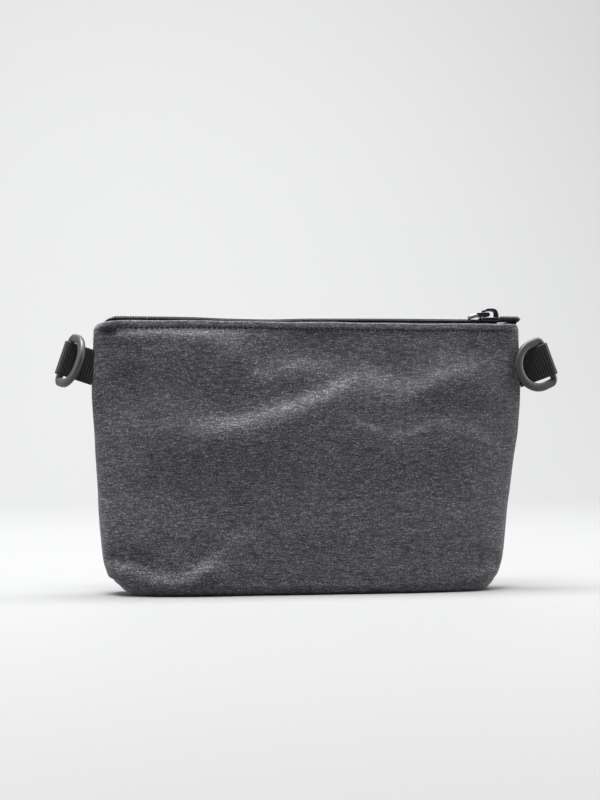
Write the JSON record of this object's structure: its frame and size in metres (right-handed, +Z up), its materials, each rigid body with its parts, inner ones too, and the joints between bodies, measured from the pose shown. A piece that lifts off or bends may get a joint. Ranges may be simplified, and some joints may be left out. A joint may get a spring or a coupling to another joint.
{
  "type": "zipped fabric carry case",
  "caption": "Soft padded pouch on a boxed flat base with a coil zip along the top and a webbing tab with a D-ring at each top side.",
  "frame": {"origin": "middle of the base where the case stands", "axes": "+X along the zip towards the slider's closed end, -Y out of the front wall, +Z up"},
  "size_m": [0.3005, 0.0452, 0.1673],
  "materials": {
    "cloth": "heathered woven canvas",
    "foam": "soft foam interlining",
    "lining": "plain woven lining",
    "binding": "woven binding tape",
    "zip_tape": "woven zip tape",
    "coil": "satin nylon coil",
    "thread": "spun thread",
    "plated_metal": "polished dark plating",
    "webbing": "ribbed webbing",
    "ring_plastic": "satin moulded plastic"
  },
  "bodies": {
    "case": {"back_panel": "cloth", "base_panel": "cloth", "back_padding": "foam", "base_padding": "foam", "back_lining": "lining", "base_lining": "lining", "side_binding_left": "binding", "side_binding_right": "binding", "zipper_tape_back": "zip_tape", "zipper_coil_back": "coil", "topstitch_back": "thread", "web_tab_left": "webbing", "web_tab_right": "webbing"},
    "front_wall": {"front_panel": "cloth", "front_padding": "foam", "front_lining": "lining", "zipper_tape_front": "zip_tape", "zipper_coil_front": "coil", "topstitch_front": "thread"},
    "slider": {"slider_body": "plated_metal"},
    "pull": {"pull_tab": "plated_metal"},
    "ring_left": {"d_ring_left": "ring_plastic"},
    "ring_right": {"d_ring_right": "ring_plastic"}
  },
  "joints": [
    {"name": "slider_slide", "type": "slide", "parent": "case", "child": "slider", "axis": [1, 0, 0], "range_m": [-0.204, 0], "deforming": ["zipper_coil_front", "zipper_coil_back", "zipper_tape_front", "zipper_tape_back"]},
    {"name": "mouth_open", "type": "hinge", "parent": "case", "child": "front_wall", "pos_m": [0, -0.021, 0.0025], "axis": [1, 0, 0], "range_deg": [0, 12], "deforming": ["front_panel", "front_lining"]},
    {"name": "pull_swing", "type": "hinge", "parent": "slider", "child": "pull", "pos_m": [0.1069, 0, 0.16335], "axis": [0, 1, 0], "range_deg": [0, 115]},
    {"name": "ring_left_swing", "type": "hinge", "parent": "case", "child": "ring_left", "pos_m": [-0.14205, 0, 0.1358], "axis": [-0.3123, 0, -0.95], "range_deg": [-46, 274]},
    {"name": "ring_right_swing", "type": "hinge", "parent": "case", "child": "ring_right", "pos_m": [0.14388, 0, 0.13676], "axis": [-0.3551, 0, 0.9348], "range_deg": [0, 320]}
  ],
  "couplings": [
    {"joint": "mouth_open", "follows": "slider_slide", "rad_per_m": -1.0266}
  ]
}
